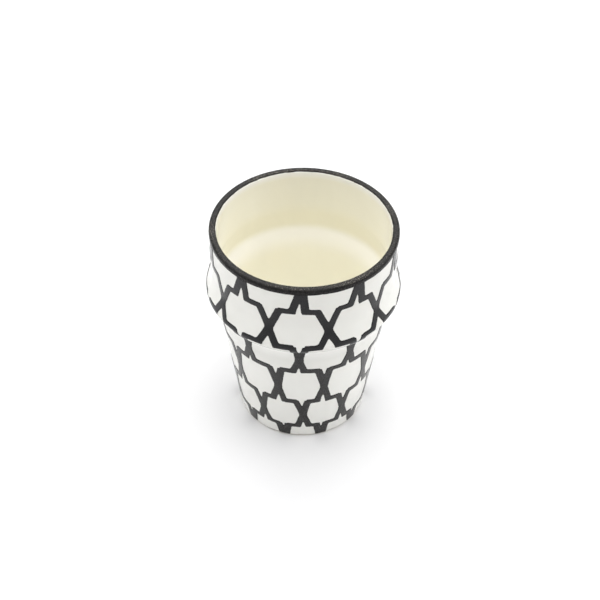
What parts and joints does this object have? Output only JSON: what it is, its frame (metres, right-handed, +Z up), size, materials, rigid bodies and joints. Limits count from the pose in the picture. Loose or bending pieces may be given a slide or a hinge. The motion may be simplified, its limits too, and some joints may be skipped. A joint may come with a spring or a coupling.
{
  "type": "coffee cup",
  "caption": "Handle-less ceramic coffee cup with a straight collar, a belt, a tapered wall on a ringed foot, a painted trellis and a black lip band.",
  "frame": {"origin": "centre of the foot, on the plane that the cup stands on", "axes": "+Z up along the cup's axis, out of its mouth; -Y is the front"},
  "size_m": [0.069, 0.069, 0.0826],
  "materials": {
    "clay": "unglazed, dry and slightly gritty",
    "ivory_glaze": "glossy",
    "white_glaze": "glossy, faintly wavy",
    "black_enamel": "brushed on, glossy"
  },
  "bodies": {
    "root": {"clay_body": "clay", "lining_glaze": "ivory_glaze", "outer_glaze": "white_glaze", "foot_glaze": "white_glaze", "rim_band": "black_enamel", "trellis_band_1": "black_enamel", "trellis_band_2": "black_enamel", "trellis_band_3": "black_enamel", "trellis_band_4": "black_enamel", "trellis_band_5": "black_enamel"}
  },
  "joints": []
}
